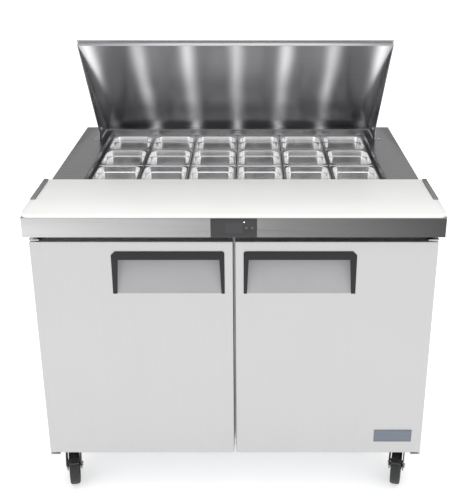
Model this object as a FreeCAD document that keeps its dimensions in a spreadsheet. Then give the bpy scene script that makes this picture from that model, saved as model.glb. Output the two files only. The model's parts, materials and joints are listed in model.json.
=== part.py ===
import FreeCAD, Part
import math
import os
import re
import Sketcher

# A two-door refrigerated sandwich prep table on casters, pan cover open.
# Millimetres. The origin is on the floor under the middle of the table. +X is the user's right,
# +Y points to the back and +Z points up.

os.makedirs("parts", exist_ok=True)
doc = FreeCAD.newDocument("sandwich_prep_table")

DRIVING = {
    "overall_width": 1224, "overall_depth": 920, "worktop_height": 990, "body_half": 594,
    "top_half": 596, "sheet_steel": 1.5, "base_height": 152, "wall_thick": 50,
    "fascia_height": 62, "fascia_gap": 16, "plate_half": 67, "window_half": 25,
    "door_bottom": 165, "door_depth": 48, "door_setback": 5, "door_gap": 6,
    "gasket_depth": 10, "pin_inset": 14, "pin_setback": 12, "pin_radius": 5,
    "handle_width": 332, "handle_height": 138, "handle_margin": 25, "handle_drop": 30,
    "handle_bar": 27, "scoop_depth": 32,
    "board_depth": 290, "board_thick": 11, "board_rebate": 175,
    "opening_half": 489, "opening_front": -162, "opening_back": 425, "bead_radius": 4,
    "pan_across": 162.5, "pan_along": 177, "pan_back": 423, "pan_recess": 25,
    "pan_depth": 100, "pan_rim": 8, "rail_depth": 165,
    "lid_half": 515, "lid_length": 590.6, "lid_skirt_at": 482, "lid_skirt_depth": 112.2,
    "lid_thick": 14, "lid_lean": 42.85, "lid_tip_back": 20, "lid_tip_high": 1408,
    "pivot_back": 313, "pivot_high": 1028, "pivot_radius": 6,
    "cavity_back": 230, "cavity_floor": 204, "machine_front": 260, "machine_top": 520,
    "caster_across": 548, "caster_along": 350, "caster_trail": 38, "wheel_radius": 62,
    "wheel_width": 32, "axle_radius": 5, "front_left_yaw": 12, "front_right_yaw": -15,
    "rear_left_yaw": -9,
    "frame_lap": 4, "post_half": 20, "header_drop": 42, "foam_drop": 34, "rail_gap": 2,
    "liner_sheet": 1, "slot_half": 85, "slot_height": 12, "slot_step": 30, "slot_rise": 60,
    "slot_across": 205, "inlet_near": 440, "inlet_across": 60, "inlet_low": 560,
    "inlet_tall": 40, "inlet_wall": 10, "inlet_lip": 8,
    "fold_drop": 32, "well_sheet": 1.2, "bar_half": 6, "bar_depth": 11.5, "bracket_sheet": 1.4,
    "bracket_room": 1.6, "bracket_reach": 15, "bracket_drop": 3, "board_play": 2.4, "board_corner": 18,
    "plate_margin": 1, "window_margin": 14, "door_sheet": 1.2, "seal_inset": 16,
    "seal_width": 14, "recess_near": 10.5, "recess_far": 13.5, "trim_lap": 2.5,
    "trim_thick": 3, "badge_near": 443, "badge_across": 120, "badge_rise": 45,
    "badge_tall": 44, "hinge_reach": 30, "hinge_sheet": 3, "hinge_drop": 4,
    "pin_length": 18, "pivot_plate": 3, "shelf_level": 500, "shelf_near": 12, "rod_radius": 4,
    "wire_radius": 2.5, "post_low": 260, "post_high": 680, "clip_low": 492,
    "clip_sheet": 3.5, "shroud_half": 260, "shroud_front": 130, "shroud_low": 690,
    "evaporator_high": 752, "compressor_at": -290, "machine_along": 360,
    "compressor_radius": 78, "condenser_at": 335, "condenser_thick": 45, "condenser_high": 285,
    "crown_front": 26, "crown_top": 140, "crown_thick": 6, "kingpin_radius": 6,
    "leg_inner": 21, "leg_sheet": 3, "pedal_along": -86, "pedal_high": 117, "pedal_pin": 4,
    "pedal_half": 16, "plate_square": 45, "race_radius": 28,
}
sheet = doc.addObject("Spreadsheet::Sheet", "Dimensions")
for row, (alias, value) in enumerate(DRIVING.items(), start=1):
    sheet.set(f"A{row}", alias)
    sheet.set(f"B{row}", str(value))
    sheet.setAlias(f"B{row}", alias)
doc.recompute()

ALIAS = re.compile(r"[a-z]+(_[a-z]+)+")
RUNNING = 0.06          # radial clearance of a shaft in its bore
CLEAR = 0.3             # clearance between two pieces that move apart
PAST = 5                # how far a cutting block runs past the piece that it cuts
PAN_COLUMNS = 6
KEY_RADIUS = 4.7
KEY_PLACES = {"button_up": "36", "button_down": "53"}
nodes = []


def size(alias):
    """The number that the sheet holds under this name."""
    return float(sheet.get(alias))


def bound(expression):
    """The same expression with every name pointing at the sheet."""
    return ALIAS.sub(lambda found: "Dimensions." + found.group(0), str(expression))


def node(piece, label):
    """Names a finished piece and puts it on the list of pieces to write."""
    piece.Label = label
    nodes.append(piece)
    return piece


def place(piece, x="0", y="0", z="0"):
    """Binds the piece's position to the sheet."""
    for axis, expression in zip("xyz", (x, y, z)):
        piece.setExpression(f".Placement.Base.{axis}", bound(expression))
    return piece


def box(name, x, y, z):
    """A block between two planes along each axis."""
    block = doc.addObject("Part::Box", name)
    for side, (low, high) in zip(("Length", "Width", "Height"), (x, y, z)):
        block.setExpression(side, bound(f"({high}) - ({low})"))
    return place(block, x[0], y[0], z[0])


def both(expression):
    """A span that is symmetric about the middle plane."""
    return f"-({expression})", f"{expression}"


def side_span(side, low, high):
    """A span at the right, or its twin at the left where side is negative."""
    return (low, high) if side > 0 else (f"-({high})", f"-({low})")


def cylinder(name, axis, low, high, radius, centre):
    """A round bar along one axis from low to high; centre gives its other two coordinates."""
    turns = {
        "x": FreeCAD.Rotation(FreeCAD.Vector(0, 1, 0), 90),
        "y": FreeCAD.Rotation(FreeCAD.Vector(1, 0, 0), -90),
        "z": FreeCAD.Rotation(),
    }
    bar = doc.addObject("Part::Cylinder", name)
    bar.setExpression("Radius", bound(radius))
    bar.setExpression("Height", bound(f"({high}) - ({low})"))
    bar.Placement = FreeCAD.Placement(FreeCAD.Vector(), turns[axis])
    first, second = centre
    base = {"x": (low, first, second), "y": (first, low, second), "z": (first, second, low)}
    return place(bar, *base[axis])


def outline(name, role, corners, low, high):
    """A body padded from a closed outline drawn in one of its own origin planes."""
    body = doc.addObject("PartDesign::Body", name)
    plane = next(item for item in body.Origin.OriginFeatures if item.Role == role)
    sketch = body.newObject("Sketcher::SketchObject", name + "_sketch")
    sketch.AttachmentSupport = [(plane, "")]
    sketch.MapMode = "FlatFace"
    count = len(corners)
    start = [(100 * math.cos(math.tau * step / count), 100 * math.sin(math.tau * step / count))
             for step in range(count)]
    for step in range(count):
        here, after = start[step], start[(step + 1) % count]
        sketch.addGeometry(Part.LineSegment(FreeCAD.Vector(*here, 0), FreeCAD.Vector(*after, 0)))
    for step in range(count):
        sketch.addConstraint(Sketcher.Constraint("Coincident", step, 2, (step + 1) % count, 1))
    for step, corner in enumerate(corners):
        for kind, now, wanted in zip(("DistanceX", "DistanceY"), start[step], corner):
            held = sketch.addConstraint(Sketcher.Constraint(kind, -1, 1, step, 1, now))
            sketch.setExpression(f"Constraints[{held}]", bound(wanted))
    pad = body.newObject("PartDesign::Pad", name + "_pad")
    pad.Profile = sketch
    pad.setExpression("Length", bound(f"({high}) - ({low})"))
    if role == "YZ_Plane":
        return place(body, x=low)
    if role == "XZ_Plane":
        return place(body, y=high)
    return place(body, z=low)


def fuse(name, *pieces):
    """All the pieces joined into one solid."""
    joined = doc.addObject("Part::MultiFuse", name)
    joined.Shapes = list(pieces)
    return joined


def cut(name, base, *tools):
    """The base with the tools taken away."""
    result = doc.addObject("Part::Cut", name)
    result.Base = base
    result.Tool = tools[0] if len(tools) == 1 else fuse(name + "_tools", *tools)
    return result


def group(name, *pieces):
    """Separate solids kept in one piece."""
    together = doc.addObject("Part::Compound", name)
    together.Links = list(pieces)
    return together


def mirrored(name, source):
    """The same piece on the other side of the middle plane."""
    twin = doc.addObject("Part::Mirroring", name)
    twin.Source = source
    twin.Normal = FreeCAD.Vector(1, 0, 0)
    return twin


def rounded(name, source, radius, chosen):
    """The source with the edges picked by chosen rounded off."""
    doc.recompute()
    fillet = doc.addObject("Part::Fillet", name)
    fillet.Base = source
    fillet.Edges = [(number, radius, radius)
                    for number, edge in enumerate(source.Shape.Edges, start=1) if chosen(edge)]
    return fillet


def shell(name, x, y, z, inner_x, inner_y, inner_z):
    """An outer block with an inner block taken out of it."""
    return cut(name, box(name + "_outer", x, y, z), box(name + "_hollow", inner_x, inner_y, inner_z))


def circular(edge):
    """True for a round edge."""
    return edge.Curve.TypeId == "Part::GeomCircle"


def upright(edge):
    """True for a straight vertical edge."""
    ends = [vertex.Point for vertex in edge.Vertexes]
    return len(ends) == 2 and (ends[1] - ends[0]).cross(FreeCAD.Vector(0, 0, 1)).Length < 1e-6


# Planes that several pieces share
FRONT = "(-overall_depth / 2)"
BACK = "(overall_depth / 2)"
LEDGE_HALF = "(overall_width / 2)"
LEDGE_BACK = "(-overall_depth / 2 + board_depth)"
UNDER_TOP = "(worktop_height - sheet_steel)"
FASCIA_BOTTOM = "(worktop_height - fascia_height)"
DOOR_TOP = "(worktop_height - fascia_height - fascia_gap)"
DOOR_FRONT = "(-overall_depth / 2 + door_setback)"
DOOR_BACK = "(-overall_depth / 2 + door_setback + door_depth)"
FRAME_FRONT = "(-overall_depth / 2 + door_setback + door_depth + gasket_depth + 0.6)"
FRAME_BACK = f"({FRAME_FRONT} + sheet_steel)"
REAR_SHEET = "(overall_depth / 2 - 2)"
CAVITY_HALF = "(body_half - wall_thick)"
LEDGE_TOP = f"(worktop_height - pan_recess - well_sheet - {CLEAR})"
UNDER_RAIL = "(worktop_height - rail_depth - 10)"
BASE_TOP = "(base_height + sheet_steel)"
# The room that the pan rail needs: its spans along each axis
RAIL_ROOM = (
    both("opening_half + rail_gap"), ("opening_front - rail_gap", "opening_back + rail_gap"),
    ("worktop_height - rail_depth - 2 * rail_gap", "worktop_height"),
)


def inlet_housing(name):
    """The outer block of the power inlet."""
    return box(name, ("inlet_near", "inlet_near + inlet_across"),
               (f"{REAR_SHEET} - 40", f"{REAR_SHEET} - sheet_steel"),
               ("inlet_low", "inlet_low + inlet_tall"))


def inlet_way(name):
    """The hole of the power inlet, through the back panel and into the inlet's housing."""
    return box(name, ("inlet_near + inlet_wall", "inlet_near + inlet_across - inlet_wall"),
               (f"{REAR_SHEET} - 20", f"{REAR_SHEET} + {PAST}"),
               ("inlet_low + inlet_lip", "inlet_low + inlet_tall - inlet_lip"))


def cabinet():
    """Outer panels, floor, face frame, foam and liner."""
    right = box("side", ("body_half - sheet_steel", "body_half"), (FRAME_BACK, REAR_SHEET),
                ("base_height + sheet_steel", UNDER_TOP))
    node(right, "side_panel_right")
    node(mirrored("side_twin", right), "side_panel_left")
    inside = both("body_half - sheet_steel")
    rear = (f"{REAR_SHEET} - sheet_steel", REAR_SHEET)
    back = box("rear_sheet", inside, rear, ("machine_top + 1", UNDER_TOP))
    node(cut("rear_cut", back, inlet_way("rear_way")), "back_panel")
    grille = box("grille_sheet", inside, rear, ("base_height + sheet_steel", "machine_top"))
    slots = []
    for column in range(-2, 3):
        for row_number in range(9):
            low = f"base_height + slot_rise + {row_number} * slot_step"
            across = (f"{column} * slot_across - slot_half", f"{column} * slot_across + slot_half")
            slots.append(box("slot", across, (f"{REAR_SHEET} - {PAST}", f"{REAR_SHEET} + {PAST}"),
                             (low, f"{low} + slot_height")))
    node(cut("grille", grille, *slots), "rear_grille")
    node(box("base", both("body_half"), (FRAME_BACK, REAR_SHEET),
             ("base_height", "base_height + sheet_steel")), "cabinet_floor")

    heights = ("cavity_floor + frame_lap", f"{DOOR_TOP} - header_drop")
    through = (f"{FRAME_FRONT} - {PAST}", f"{FRAME_BACK} + {PAST}")
    face = box("face", both("body_half"), (FRAME_FRONT, FRAME_BACK), ("base_height", UNDER_TOP))
    ways = [box("door_way", side_span(side, "post_half", f"{CAVITY_HALF} - frame_lap"), through,
                heights) for side in (1, -1)]
    node(cut("frame", face, *ways), "door_frame")

    skin = "(body_half - sheet_steel)"
    block = box("foam_block", both(skin), (FRAME_BACK, f"{REAR_SHEET} - sheet_steel"),
                ("base_height + sheet_steel", "worktop_height - foam_drop"))
    cavity = box("foam_cavity", both(CAVITY_HALF), (FRAME_FRONT, "cavity_back"),
                 ("cavity_floor", "worktop_height"))
    rail_room = box("foam_rail", *RAIL_ROOM)
    machine = box("foam_machine", both("body_half"), ("machine_front", BACK), ("0", "machine_top"))
    node(cut("foam", block, cavity, rail_room, machine, inlet_housing("foam_inlet")), "cabinet_foam")

    lining_top = "(worktop_height - foam_drop)"
    inner = f"({CAVITY_HALF} - liner_sheet)"
    run = (FRAME_BACK, "cavity_back")
    behind = ("cavity_back - liner_sheet", "cavity_back")
    above_floor = "(cavity_floor + liner_sheet)"
    rail_side, rail_low = RAIL_ROOM[0][1], RAIL_ROOM[2][0]
    floor = box("lining_floor", both(CAVITY_HALF), run, ("cavity_floor", above_floor))
    rear_sheet = box("lining_back", both(inner), behind, (above_floor, rail_low))
    wall = box("lining_side", (inner, CAVITY_HALF), run, (above_floor, lining_top))
    strip = box("lining_strip", (rail_side, inner), behind, (rail_low, lining_top))
    node(group("lining", floor, rear_sheet, wall, mirrored("lining_side_twin", wall),
               strip, mirrored("lining_strip_twin", strip)), "inner_liner")


def top():
    """Worktop with its opening, fascia, pan rail, bars and board brackets."""
    level = (UNDER_TOP, "worktop_height")
    fold = ("worktop_height - fold_drop", "worktop_height")
    pieces = [
        box("ledge", both(LEDGE_HALF), (FRONT, LEDGE_BACK), level),
        box("deck", both("top_half"), (f"{LEDGE_BACK} - 1", BACK), level),
        box("rear_fold", both("top_half"), (f"{BACK} - sheet_steel", BACK), fold),
        cylinder("bead", "x", "-opening_half - 10", "opening_half + 10", "bead_radius",
                 (f"{LEDGE_BACK} + bead_radius", "worktop_height")),
    ]
    for side in (1, -1):
        edge = side_span(side, "top_half - sheet_steel", "top_half")
        pieces.append(box("side_fold", edge, (LEDGE_BACK, BACK), fold))
        edge = side_span(side, f"{LEDGE_HALF} - sheet_steel", LEDGE_HALF)
        pieces.append(box("ledge_fold", edge, (f"{FRONT} + 2 * sheet_steel", LEDGE_BACK), fold))
        edge = side_span(side, "top_half - sheet_steel", LEDGE_HALF)
        pieces.append(box("ledge_end", edge, (f"{LEDGE_BACK} - sheet_steel", LEDGE_BACK), fold))
    way = box("way", both("opening_half"), ("opening_front", "opening_back"),
              ("worktop_height - 50", "worktop_height + 50"))
    under_bead = box("under_bead", both("opening_half + 11"), (f"{LEDGE_BACK} - {PAST}", "opening_front"),
                     (f"{UNDER_TOP} - {PAST}", UNDER_TOP))
    node(cut("top_sheet", fuse("top_folds", *pieces), way, under_bead), "worktop")

    fascia_front = f"{FRONT} + sheet_steel"
    front = box("fascia_front", both(LEDGE_HALF), (fascia_front, f"{FRONT} + 2 * sheet_steel"),
                (FASCIA_BOTTOM, UNDER_TOP))
    under = box("fascia_under", both(LEDGE_HALF), (fascia_front, FRAME_FRONT),
                (FASCIA_BOTTOM, f"{FASCIA_BOTTOM} + sheet_steel"))
    near, far = f"{LEDGE_HALF} - 2 * sheet_steel", f"{LEDGE_HALF} - sheet_steel"
    ends = [box("fascia_end", side_span(side, near, far), (fascia_front, FRAME_FRONT),
                (FASCIA_BOTTOM, UNDER_TOP)) for side in (1, -1)]
    key_holes = [key_bar("key_room", place_x, f"{FRONT} - {PAST}", f"{FRONT} + {2 * PAST}",
                         KEY_RADIUS + 2 * CLEAR) for place_x in KEY_PLACES.values()]
    node(cut("fascia", fuse("fascia_folds", front, under, *ends), *key_holes), "front_fascia")

    walls = shell("well", both("opening_half + well_sheet"),
                  ("opening_front - well_sheet", "opening_back + well_sheet"),
                  ("worktop_height - rail_depth", UNDER_TOP),
                  both("opening_half"), ("opening_front", "opening_back"),
                  ("0", f"worktop_height + {PAST}"))
    ledge = shell("well_ledge", both("opening_half + well_sheet / 2"),
                  ("opening_front - well_sheet / 2", "opening_back + well_sheet / 2"),
                  (f"{LEDGE_TOP} - sheet_steel", LEDGE_TOP),
                  both(f"{PAN_COLUMNS / 2} * pan_across - pan_rim"),
                  ("pan_back - 3 * pan_along + pan_rim", "pan_back - pan_rim"),
                  ("0", "worktop_height"))
    node(fuse("rail", walls, ledge), "rail_well")
    bars = []
    for count in (1, 2):
        middle = f"pan_back - {count} * pan_along"
        deep = (f"{middle} - bar_half", f"{middle} + bar_half")
        under = f"{LEDGE_TOP} - sheet_steel"
        bar = box("bar", both("opening_half"), deep, (f"{under} - bar_depth", under))
        cap = box("bar_cap", both("opening_half - 10"), deep, (under, LEDGE_TOP))
        bars.append(fuse("bar_whole", bar, cap))
    node(group("bars", *bars), "pan_bars")

    run = (f"{LEDGE_BACK} - board_rebate", f"{LEDGE_BACK} - 2")
    over = "worktop_height + board_thick + bracket_room"
    web = box("web", (f"{LEDGE_HALF} - sheet_steel", LEDGE_HALF), run,
              ("worktop_height", f"{over} + bracket_sheet"))
    flange = box("flange", (f"{LEDGE_HALF} - bracket_reach", LEDGE_HALF), run,
                 (over, f"{over} + bracket_sheet"))
    right = fuse("bracket", web, flange)
    node(group("brackets", right, mirrored("bracket_twin", right)), "board_brackets")


def key_bar(name, place_x, low, high, radius):
    """A bar through the control plate at one key's place."""
    return cylinder(name, "y", low, high, radius, (place_x, "worktop_height - fascia_height / 2"))


def controls():
    """Black plate in the fascia with a window and two keys."""
    plate = box("plate", both("plate_half"), (FRONT, f"{FRONT} + sheet_steel"),
                (f"{FASCIA_BOTTOM} + plate_margin", f"{UNDER_TOP} - plate_margin / 2"))
    tall = (f"{FASCIA_BOTTOM} + window_margin", f"{UNDER_TOP} - window_margin")
    through = (f"{FRONT} - {PAST}", f"{FRONT} + {PAST}")
    hole = box("window_hole", both("window_half"), through, tall)
    key_holes = [key_bar("key_hole", place_x, *through, KEY_RADIUS + CLEAR)
                 for place_x in KEY_PLACES.values()]
    node(cut("plate_cut", plate, hole, *key_holes), "control_plate")
    node(box("window", both("window_half"), (f"{FRONT} + {CLEAR}", f"{FRONT} + sheet_steel"), tall),
         "display_window")
    for label, place_x in KEY_PLACES.items():
        node(key_bar("key", place_x, f"{FRONT} - 0.5", f"{FRONT} + 1", KEY_RADIUS), label)


def board():
    """Cutting board, narrower and thinner at its edges where the side brackets hold it."""
    rear_half = f"({LEDGE_HALF} - board_play)"
    step = f"{LEDGE_BACK} - board_rebate - 1"
    corners = [
        (f"-{LEDGE_HALF}", FRONT), (LEDGE_HALF, FRONT), (LEDGE_HALF, step), (rear_half, step),
        (rear_half, f"{LEDGE_BACK} - 1"), (f"-{rear_half}", f"{LEDGE_BACK} - 1"),
        (f"-{rear_half}", step), (f"-{LEDGE_HALF}", step),
    ]
    slab = outline("slab", "XY_Plane", corners, f"worktop_height + {CLEAR}",
                   f"worktop_height + {CLEAR} + board_thick")
    front = -size("overall_depth") / 2

    def at_front(edge):
        return upright(edge) and abs(edge.Vertexes[0].Y - front) < 1
    whole = rounded("slab_round", slab, size("board_corner"), at_front)
    top_level = f"worktop_height + {CLEAR} + board_thick"
    rebates = [box("rebate", side_span(side, f"{LEDGE_HALF} - bracket_reach - 0.5", "overall_width"),
                   (step, "0"), (f"{top_level} - bracket_drop", f"{top_level} + {PAST}"))
               for side in (1, -1)]
    node(cut("slab_cut", whole, *rebates), "cutting_board")


def pan_shape():
    """One small steel pan: flat rim, upper wall, stacking shoulder and a narrower lower wall."""
    gap = 1.5           # between the rims of neighbouring pans
    steel = 1           # wall thickness
    shoulder = 21       # depth of the upper wall, above the stacking shoulder
    step = 3            # how much narrower the lower wall is
    corner = 16         # corner radius of the upper wall
    across = size("pan_across") - gap
    along = size("pan_along") - gap
    rim = size("pan_rim")
    top_level = size("worktop_height") - size("pan_recess")

    def slab(inset, high, low, radius):
        block = Part.makeBox(across - 2 * inset, along - 2 * inset, high - low,
                             FreeCAD.Vector(inset - across / 2, inset - along / 2, top_level + low))
        return block.makeFillet(radius, [edge for edge in block.Edges if upright(edge)])

    floor = -size("pan_depth")
    outer = slab(0, 0, -size("well_sheet"), 10).fuse([
        slab(rim, -steel, -shoulder - steel, corner),
        slab(rim + step, -shoulder, floor, corner - steel)])
    inner = slab(rim + steel, steel, -shoulder, corner - steel).fuse(
        slab(rim + step + steel, steel - shoulder, floor + steel, corner - 2 * steel))
    return outer.cut(inner)


def pans():
    """Three rows of pans, each row one piece of separate solids."""
    pan = pan_shape()
    for count, label in enumerate(("pan_row_back", "pan_row_middle", "pan_row_front")):
        middle = size("pan_back") - (count + 0.5) * size("pan_along")
        copies = []
        for column in range(PAN_COLUMNS):
            copy = pan.copy()
            from_middle = column - (PAN_COLUMNS - 1) / 2
            copy.translate(FreeCAD.Vector(from_middle * size("pan_across"), 0, 0))
            copies.append(copy)
        row_piece = doc.addObject("Part::Feature", label)
        row_piece.Shape = Part.makeCompound(copies)
        place(row_piece, y=middle)
        node(row_piece, label)


def lean(piece):
    """Leans a piece drawn flat, tip at the origin, back to the open cover's place."""
    turn = FreeCAD.Rotation(FreeCAD.Vector(1, 0, 0), -size("lid_lean"))
    piece.Placement = FreeCAD.Placement(FreeCAD.Vector(), turn)
    return piece


def lid_outline(name, corners, half):
    """A prism across the cover; corners are (distance from the tip, depth under the top)."""
    drawn = [(along, f"-({deep})") for along, deep in corners]
    prism = lean(outline(name, "YZ_Plane", drawn, f"-({half})", half))
    return place(prism, f"-({half})", "lid_tip_back", "lid_tip_high")


def lid():
    """Pan cover: outer skin with side skirts, foam, inner panel, pins and their brackets."""
    whole = lid_outline("lid_whole", [
        ("0", "0"), ("lid_length", "0"), ("lid_length", "lid_thick"),
        ("lid_skirt_at", "lid_skirt_depth"), ("0", "lid_thick")], "lid_half")
    steel, tail, inner_half = "sheet_steel", "lid_length - sheet_steel", "lid_half - 2"
    room = lid_outline("lid_room", [
        (steel, steel), (tail, steel), (tail, "200"), (steel, "200")], inner_half)
    grip = lid_outline("lid_grip", [
        ("-11", "-1"), ("1", "0"), ("1", "2.5"), ("-11", "1.5")], "lid_half")
    pin_line = ("pivot_back", "pivot_high")
    bore = cylinder("lid_bore", "x", "-lid_half - 20", "lid_half + 20", "pivot_radius", pin_line)
    hollow = cut("lid_hollow", whole, room)
    node(cut("lid_skin", fuse("lid_sheet", hollow, grip), bore), "lid_outer_skin")
    panel_top = "lid_thick - 1"
    node(lid_outline("lid_fill", [
        (steel, steel), (tail, steel), (tail, panel_top), (steel, panel_top)], inner_half),
        "lid_foam")
    drip_lip = [
        (tail, "lid_thick"), ("lid_length - 29.7", "lid_thick + 25.5"),
        ("lid_length - 30.5", "lid_thick + 24.6"), ("lid_length - 3.9", "lid_thick")]
    node(lid_outline("lid_panel", [
        (steel, panel_top), (tail, panel_top), *drip_lip, (steel, "lid_thick")], inner_half),
        "lid_inner_panel")
    pin = fuse("pivot_pin",
               cylinder("pin_shaft", "x", "lid_half - 6", "lid_half + 7", f"pivot_radius - {RUNNING}",
                        pin_line),
               cylinder("pin_collar", "x", "lid_half - 6", inner_half, "pivot_radius + 4", pin_line))
    node(group("pivot_pins", pin, mirrored("pivot_pin_twin", pin)), "lid_pins")
    plate = box("pivot_plate", ("lid_half + 2", "lid_half + 2 + pivot_plate"),
                ("pivot_back - 20", "pivot_back + 20"), ("worktop_height", "pivot_high + 14"))
    foot = box("pivot_foot", ("lid_half + 2", "lid_half + 28"), ("pivot_back - 24", "pivot_back + 24"),
               ("worktop_height", "worktop_height + 2"))
    hole = cylinder("pivot_hole", "x", "lid_half", "lid_half + 10", "pivot_radius", pin_line)
    bracket = cut("pivot_bracket", fuse("pivot_folds", plate, foot), hole)
    node(group("pivot_brackets", bracket, mirrored("pivot_bracket_twin", bracket)),
         "lid_pivot_brackets")


def doors():
    """The right door is built and the left one is its mirror image."""
    near, far = "(door_gap / 2)", "top_half"
    across, heights = (near, far), ("door_bottom", DOOR_TOP)
    inner_across = (f"{near} + door_sheet", f"{far} - door_sheet")
    inner_heights = ("door_bottom + door_sheet", f"{DOOR_TOP} - door_sheet")
    pin_x, pin_y = "top_half - pin_inset", f"{DOOR_FRONT} + pin_setback"
    handle_near = "(door_gap / 2 + handle_margin)"
    handle_far = "(door_gap / 2 + handle_margin + handle_width)"
    handle_top = f"({DOOR_TOP} - handle_drop)"
    handle_low = f"({DOOR_TOP} - handle_drop - handle_height)"

    def bores(name):
        depth = "(pin_length - 1)"
        spans = ((f"{DOOR_TOP} - {depth}", f"{DOOR_TOP} + {PAST}"),
                 (f"door_bottom - {PAST}", f"door_bottom + {depth}"))
        return [cylinder(name, "z", *span, f"pin_radius + {RUNNING}", (pin_x, pin_y))
                for span in spans]

    def wedge(name, wall):
        """The recess, deep at its top and flush at its bottom; wall 0 is its outside."""
        deep = f"{DOOR_FRONT} + scoop_depth + 1.5 - {wall}"
        slope_low = f"{DOOR_FRONT} + 1.5 - {wall}"
        face, roof = f"{DOOR_FRONT} - {wall}", f"{handle_top} - trim_lap - {wall}"
        corners = [
            (face, handle_low), (face, roof), (deep, roof),
            (deep, f"{handle_top} - scoop_depth + {wall} * 0.3"), (slope_low, handle_low)]
        return outline(name, "YZ_Plane", corners, f"{handle_near} + recess_near + {wall}",
                       f"{handle_far} - recess_far - {wall}")

    panel = shell("door_pan", across, (DOOR_FRONT, DOOR_BACK), heights,
                  inner_across, (f"{DOOR_FRONT} + door_sheet", f"{DOOR_BACK} + {PAST}"),
                  inner_heights)
    skin = node(cut("door_sheet", panel, wedge("sheet_recess", 0), *bores("sheet_bore")),
                "door_right_skin")
    core_block = box("core_block", inner_across, (f"{DOOR_FRONT} + door_sheet", DOOR_BACK),
                     inner_heights)
    core = node(cut("door_fill", core_block, wedge("core_recess", 0), *bores("core_bore")),
                "door_right_core")
    inset = "(seal_inset + seal_width)"
    gasket = node(shell("seal", (f"{near} + seal_inset", f"{far} - seal_inset"),
                        (DOOR_BACK, f"{DOOR_BACK} + gasket_depth"),
                        ("door_bottom + seal_inset", f"{DOOR_TOP} - seal_inset"),
                        (f"{near} + {inset}", f"{far} - {inset}"),
                        (f"{DOOR_BACK} - {PAST}", f"{DOOR_BACK} + gasket_depth + {PAST}"),
                        (f"door_bottom + {inset}", f"{DOOR_TOP} - {inset}")), "door_right_gasket")
    scoop = node(cut("scoop", wedge("scoop_outer", 0), wedge("scoop_inner", 1.5)),
                 "door_right_handle_scoop")
    trim = node(outline("trim", "XZ_Plane", [
        (handle_near, handle_low), (handle_near, f"{handle_top} - 5"), (f"{handle_near} + 5", handle_top),
        (f"{handle_far} - 12", handle_top), (handle_far, f"{handle_top} - 12"), (handle_far, handle_low),
        (f"{handle_far} - 13", handle_low), (f"{handle_far} - 20", f"{handle_top} - handle_bar"),
        (f"{handle_near} + 15", f"{handle_top} - handle_bar"), (f"{handle_near} + 10", handle_low)],
        f"{DOOR_FRONT} - trim_thick", DOOR_FRONT), "door_right_handle_trim")
    for piece in (skin, core, gasket, scoop, trim):
        label = piece.Label.replace("right", "left")
        node(mirrored(label + "_twin", piece), label)
    node(box("badge", ("badge_near", "badge_near + badge_across"),
             (f"{DOOR_FRONT} - sheet_steel", DOOR_FRONT),
             ("door_bottom + badge_rise", "door_bottom + badge_rise + badge_tall")), "door_badge")

    brackets = []
    top_plate = (f"{DOOR_TOP} + hinge_drop", f"{DOOR_TOP} + hinge_drop + hinge_sheet")
    low_plate = ("door_bottom - hinge_drop - hinge_sheet", "door_bottom - hinge_drop")
    top_pin = (f"{top_plate[0]} - pin_length", top_plate[0])
    low_pin = (low_plate[1], f"{low_plate[1]} + pin_length")
    for level, ends in ((top_plate, top_pin), (low_plate, low_pin)):
        plate = box("hinge_plate", ("top_half - hinge_reach", "top_half"),
                    (f"{DOOR_FRONT} + 1", FRAME_FRONT), level)
        pin = cylinder("hinge_pin", "z", *ends, "pin_radius", (pin_x, pin_y))
        right = fuse("hinge_bracket", plate, pin)
        brackets += [right, mirrored("hinge_bracket_twin", right)]
    node(group("hinge_brackets", *brackets), "door_hinge_brackets")


def shelves():
    """Wire shelves and the posts and clips that carry them."""
    near, far = "shelf_near", f"({CAVITY_HALF} - 9)"
    front, back = f"({FRAME_BACK} + 16)", "(cavity_back - 17)"
    level, thick = "shelf_level", "rod_radius"
    rods = [cylinder("rail_rod", "x", near, far, thick, (side, level)) for side in (front, back)]
    rods += [cylinder("end_rod", "y", front, back, thick, (side, level)) for side in (near, far)]
    spaces = 16
    for step in range(1, spaces):
        across = f"{near} + ({far} - {near}) * {step} / {spaces}"
        rods.append(cylinder("wire", "y", front, back, "wire_radius", (across, f"{level} + 3")))
    right = node(fuse("shelf", *rods), "shelf_right")
    node(mirrored("shelf_twin", right), "shelf_left")
    posts = []
    tall = ("post_low", "post_high")
    clip_level = ("clip_low", "clip_low + clip_sheet")
    for run in (("-300", "-285"), ("120", "135")):
        outer = box("post", (f"{CAVITY_HALF} - 4", f"{CAVITY_HALF} - liner_sheet"), run, tall)
        clip = box("clip", (f"{CAVITY_HALF} - 16", f"{CAVITY_HALF} - 4"), run, clip_level)
        side = fuse("post_clip", outer, clip)
        posts += [side, mirrored("post_twin", side)]
    front_runs = (FRAME_BACK, f"{FRAME_BACK} + 10"), (f"{FRAME_BACK} + 10", f"{FRAME_BACK} + 22")
    back_runs = ("cavity_back - 10", "cavity_back - liner_sheet"), ("cavity_back - 24",
                                                                    "cavity_back - 10")
    for post_run, clip_run in (front_runs, back_runs):
        posts.append(fuse("middle_post", box("post", both(6), post_run, tall),
                          box("clip", both(18), clip_run, clip_level)))
    node(group("posts", *posts), "shelf_supports")


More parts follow.
